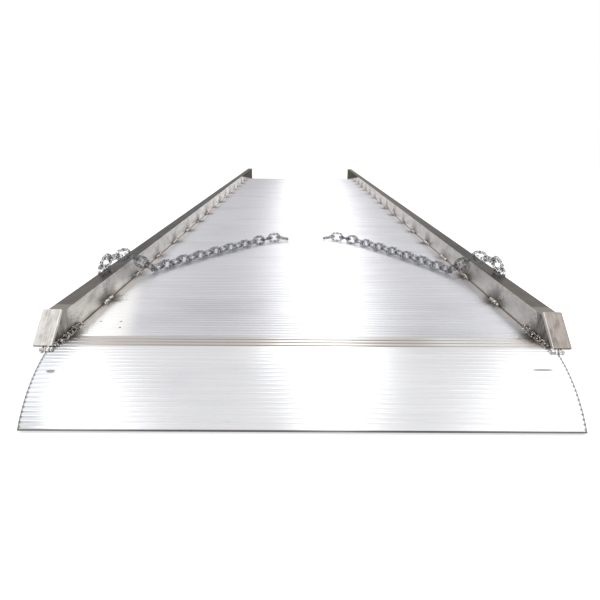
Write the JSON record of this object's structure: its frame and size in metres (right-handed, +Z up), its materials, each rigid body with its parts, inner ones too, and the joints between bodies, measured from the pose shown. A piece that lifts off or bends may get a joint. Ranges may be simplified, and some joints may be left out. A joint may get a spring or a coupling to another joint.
{
  "type": "overlap style walk ramp",
  "caption": "Aluminium livestock walk ramp: ribbed deck between outward channel rails, curved lip that overlaps a landing, sloped ground end, and two safety chains.",
  "frame": {"origin": "on the floor below the middle of the bounding box", "axes": "+X across the ramp, +Y from the lip to the ground end, +Z up"},
  "size_m": [0.7808, 3.048, 0.1424],
  "materials": {
    "mill_aluminium": "ribbed mill finish extrusion, pale grey",
    "rail_aluminium": "smooth mill finish extrusion, mid grey",
    "ground_aluminium": "ground and brushed plate, warm grey",
    "bright_zinc": "bright zinc plated steel wire"
  },
  "bodies": {
    "frame": {"lip_plate": "mill_aluminium", "deck_panel_1": "mill_aluminium", "deck_panel_2": "mill_aluminium", "deck_panel_3": "mill_aluminium", "deck_panel_4": "mill_aluminium", "approach_plate": "mill_aluminium", "left_side_rail": "rail_aluminium", "left_nose_cap": "ground_aluminium", "left_ground_cap": "ground_aluminium", "right_side_rail": "rail_aluminium", "right_nose_cap": "ground_aluminium", "right_ground_cap": "ground_aluminium"},
    "left_anchor": {"left_chain_link_01": "bright_zinc"},
    "left_saddle": {"left_chain_link_02": "bright_zinc", "left_chain_link_03": "bright_zinc", "left_chain_link_04": "bright_zinc", "left_chain_link_05": "bright_zinc"},
    "left_drop": {"left_chain_link_06": "bright_zinc", "left_chain_link_07": "bright_zinc"},
    "left_run": {"left_chain_link_08": "bright_zinc", "left_chain_link_09": "bright_zinc", "left_chain_link_10": "bright_zinc", "left_chain_link_11": "bright_zinc", "left_chain_link_12": "bright_zinc", "left_chain_link_13": "bright_zinc"},
    "left_middle": {"left_chain_link_14": "bright_zinc", "left_chain_link_15": "bright_zinc", "left_chain_link_16": "bright_zinc", "left_chain_link_17": "bright_zinc", "left_chain_link_18": "bright_zinc", "left_chain_link_19": "bright_zinc"},
    "left_tail": {"left_chain_link_20": "bright_zinc", "left_chain_link_21": "bright_zinc", "left_chain_link_22": "bright_zinc", "left_chain_link_23": "bright_zinc"},
    "left_end": {"left_chain_link_24": "bright_zinc"},
    "right_anchor": {"right_chain_link_01": "bright_zinc"},
    "right_saddle": {"right_chain_link_02": "bright_zinc", "right_chain_link_03": "bright_zinc", "right_chain_link_04": "bright_zinc", "right_chain_link_05": "bright_zinc"},
    "right_drop": {"right_chain_link_06": "bright_zinc", "right_chain_link_07": "bright_zinc"},
    "right_run": {"right_chain_link_08": "bright_zinc", "right_chain_link_09": "bright_zinc", "right_chain_link_10": "bright_zinc", "right_chain_link_11": "bright_zinc", "right_chain_link_12": "bright_zinc", "right_chain_link_13": "bright_zinc"},
    "right_middle": {"right_chain_link_14": "bright_zinc", "right_chain_link_15": "bright_zinc", "right_chain_link_16": "bright_zinc", "right_chain_link_17": "bright_zinc", "right_chain_link_18": "bright_zinc", "right_chain_link_19": "bright_zinc"},
    "right_tail": {"right_chain_link_20": "bright_zinc", "right_chain_link_21": "bright_zinc", "right_chain_link_22": "bright_zinc", "right_chain_link_23": "bright_zinc"},
    "right_end": {"right_chain_link_24": "bright_zinc"}
  },
  "joints": [
    {"name": "left_anchor_hinge", "type": "hinge", "parent": "frame", "child": "left_anchor", "pos_m": [-0.3769, -1.1726, 0.106], "axis": [1, 0, 0], "range_deg": [0, 15]},
    {"name": "left_saddle_hinge", "type": "hinge", "parent": "left_anchor", "child": "left_saddle", "pos_m": [-0.37567, -1.1726, 0.12112], "axis": [1, 0, 0], "range_deg": [0, 20]},
    {"name": "left_drop_hinge", "type": "hinge", "parent": "left_saddle", "child": "left_drop", "pos_m": [-0.33942, -1.08767, 0.10856], "axis": [0.7953, -0.5885, -0.1455], "range_deg": [0, 30]},
    {"name": "left_run_hinge", "type": "hinge", "parent": "left_drop", "child": "left_run", "pos_m": [-0.31743, -1.05191, 0.08097], "axis": [0.5991, -0.6756, -0.4298], "range_deg": [0, 30]},
    {"name": "left_middle_hinge", "type": "hinge", "parent": "left_run", "child": "left_middle", "pos_m": [-0.23306, -0.92443, 0.08167], "axis": [0.6217, -0.4476, -0.6428], "range_deg": [0, 30]},
    {"name": "left_tail_hinge", "type": "hinge", "parent": "left_middle", "child": "left_tail", "pos_m": [-0.13783, -0.80462, 0.0817], "axis": [0.5847, -0.495, -0.6428], "range_deg": [0, 30]},
    {"name": "left_end_hinge", "type": "hinge", "parent": "left_tail", "child": "left_end", "pos_m": [-0.05999, -0.74171, 0.08308], "axis": [-0.0815, 0.1533, 0.9848], "range_deg": [0, 30]},
    {"name": "right_anchor_hinge", "type": "hinge", "parent": "frame", "child": "right_anchor", "pos_m": [0.3769, -1.1726, 0.106], "axis": [1, 0, 0], "range_deg": [0, 15]},
    {"name": "right_saddle_hinge", "type": "hinge", "parent": "right_anchor", "child": "right_saddle", "pos_m": [0.37567, -1.1726, 0.12112], "axis": [1, 0, 0], "range_deg": [0, 20]},
    {"name": "right_drop_hinge", "type": "hinge", "parent": "right_saddle", "child": "right_drop", "pos_m": [0.33949, -1.08777, 0.10836], "axis": [0.7948, 0.5893, 0.1448], "range_deg": [0, 30]},
    {"name": "right_run_hinge", "type": "hinge", "parent": "right_drop", "child": "right_run", "pos_m": [0.31792, -1.05192, 0.08073], "axis": [0.5976, 0.6778, 0.4282], "range_deg": [0, 30]},
    {"name": "right_middle_hinge", "type": "hinge", "parent": "right_run", "child": "right_middle", "pos_m": [0.24753, -0.91619, 0.08167], "axis": [0.6651, 0.3801, 0.6428], "range_deg": [0, 30]},
    {"name": "right_tail_hinge", "type": "hinge", "parent": "right_middle", "child": "right_tail", "pos_m": [0.16509, -0.78726, 0.08144], "axis": [0.6332, 0.4311, 0.6428], "range_deg": [0, 30]},
    {"name": "right_end_hinge", "type": "hinge", "parent": "right_tail", "child": "right_end", "pos_m": [0.08721, -0.72451, 0.08257], "axis": [-0.0815, -0.1533, -0.9848], "range_deg": [0, 30]}
  ]
}
